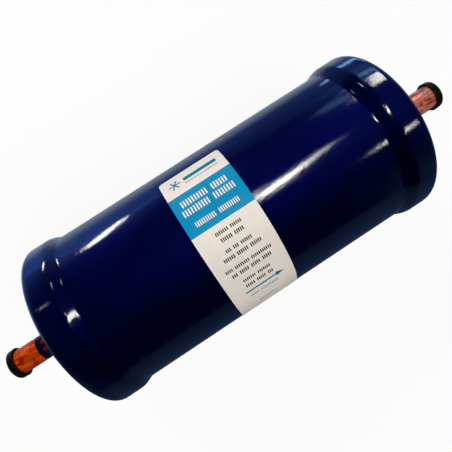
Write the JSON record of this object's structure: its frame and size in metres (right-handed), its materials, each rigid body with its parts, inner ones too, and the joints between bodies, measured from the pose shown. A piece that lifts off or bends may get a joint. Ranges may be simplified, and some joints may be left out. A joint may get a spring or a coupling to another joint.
{
  "type": "filter drier",
  "caption": "Hermetic liquid line filter drier: painted welded steel shell with dished end caps, copper solder stubs with push-on caps, and a spring-loaded bead bed inside.",
  "frame": {"origin": "centre of the shell, on its axis", "axes": "+X along the shell's axis in the direction of flow, towards the outlet stub; +Z out of the side that the label's upper half faces; +Y completes a right-handed frame"},
  "size_m": [0.2376, 0.08, 0.08],
  "materials": {
    "painted_shell": "glossy deep blue powder coat",
    "copper": "dull copper with some overspray of the paint",
    "braze": "painted over brazing metal",
    "transport_cap": "soft black plastic",
    "label": "printed film",
    "plated_steel": "zinc plated",
    "wire_screen": "plain stainless wire",
    "filter_pad": "white needled fibre mat",
    "desiccant": "beige beads",
    "spring_steel": "drawn spring wire"
  },
  "bodies": {
    "drier": {"shell_tube": "painted_shell", "inlet_end_cap": "painted_shell", "outlet_end_cap": "painted_shell", "inlet_weld_bead": "painted_shell", "outlet_weld_bead": "painted_shell", "inlet_stub": "copper", "outlet_stub": "copper", "inlet_braze_ring": "braze", "outlet_braze_ring": "braze", "label": "label", "outlet_support_plate": "plated_steel", "pressure_plate": "plated_steel", "outlet_wire_screen": "wire_screen", "inlet_wire_screen": "wire_screen", "outlet_filter_pad": "filter_pad", "inlet_filter_pad": "filter_pad", "desiccant_bed": "desiccant", "compression_spring": "spring_steel"},
    "inlet_cap": {"inlet_transport_cap": "transport_cap"},
    "outlet_cap": {"outlet_transport_cap": "transport_cap"}
  },
  "joints": [
    {"name": "inlet_cap_pull", "type": "slide", "parent": "drier", "child": "inlet_cap", "axis": [-1, 0, 0], "range_m": [0, 0.05]},
    {"name": "outlet_cap_pull", "type": "slide", "parent": "drier", "child": "outlet_cap", "axis": [1, 0, 0], "range_m": [0, 0.05]}
  ]
}
